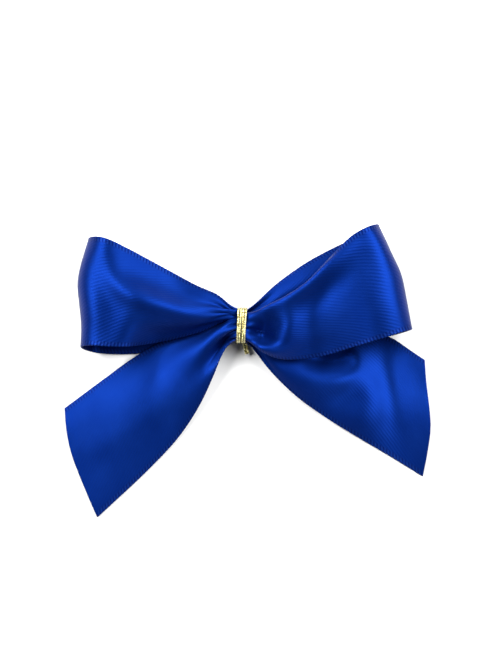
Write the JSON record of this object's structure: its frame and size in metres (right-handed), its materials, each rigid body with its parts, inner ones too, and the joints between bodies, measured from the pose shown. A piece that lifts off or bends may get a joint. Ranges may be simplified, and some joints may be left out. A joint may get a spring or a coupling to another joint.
{
  "type": "gift bow",
  "caption": "Pre-made satin ribbon bow with gathered loops and slant-cut tails, bound at the waist with metallic cord.",
  "frame": {"origin": "middle of the cord knot's flat back, which rests against the gift, under the middle of the waist", "axes": "+X from the left loop to the right loop, +Y away from the tails, +Z out of the gift towards the bow's front"},
  "size_m": [0.0851, 0.0687, 0.0129],
  "materials": {
    "satin_ribbon": "glossy double-faced satin weave with stitched selvedges",
    "gold_cord": "bright braided metallic thread"
  },
  "bodies": {
    "knot": {"waist_top_layer": "satin_ribbon", "waist_middle_layer": "satin_ribbon", "waist_bottom_layer": "satin_ribbon", "tie_left_turn": "gold_cord", "tie_right_turn": "gold_cord", "tie_knot": "gold_cord", "tie_short_end": "gold_cord", "tie_long_end": "gold_cord"},
    "left_loop": {"left_loop_front": "satin_ribbon", "left_loop_back": "satin_ribbon"},
    "right_loop": {"right_loop_front": "satin_ribbon", "right_loop_back": "satin_ribbon"},
    "left_tail": {"left_tail": "satin_ribbon"},
    "right_tail": {"right_tail": "satin_ribbon"}
  },
  "joints": [
    {"name": "left_loop_lift", "type": "hinge", "parent": "knot", "child": "left_loop", "pos_m": [-0.0026, 0.0015, 0.0081], "axis": [0, 1, 0], "range_deg": [0, 45], "stiffness_Nm_per_rad": 0.0004},
    {"name": "right_loop_lift", "type": "hinge", "parent": "knot", "child": "right_loop", "pos_m": [0.0026, 0, 0.0081], "axis": [0, -1, 0], "range_deg": [0, 45], "stiffness_Nm_per_rad": 0.0004},
    {"name": "left_tail_swing", "type": "hinge", "parent": "knot", "child": "left_tail", "pos_m": [-0.0023, -0.00175, 0.004], "axis": [0, 0, 1], "range_deg": [-8, 12], "stiffness_Nm_per_rad": 0.0003},
    {"name": "right_tail_swing", "type": "hinge", "parent": "knot", "child": "right_tail", "pos_m": [0.0023, -0.00175, 0.004], "axis": [0, 0, -1], "range_deg": [-8, 12], "stiffness_Nm_per_rad": 0.0003}
  ]
}
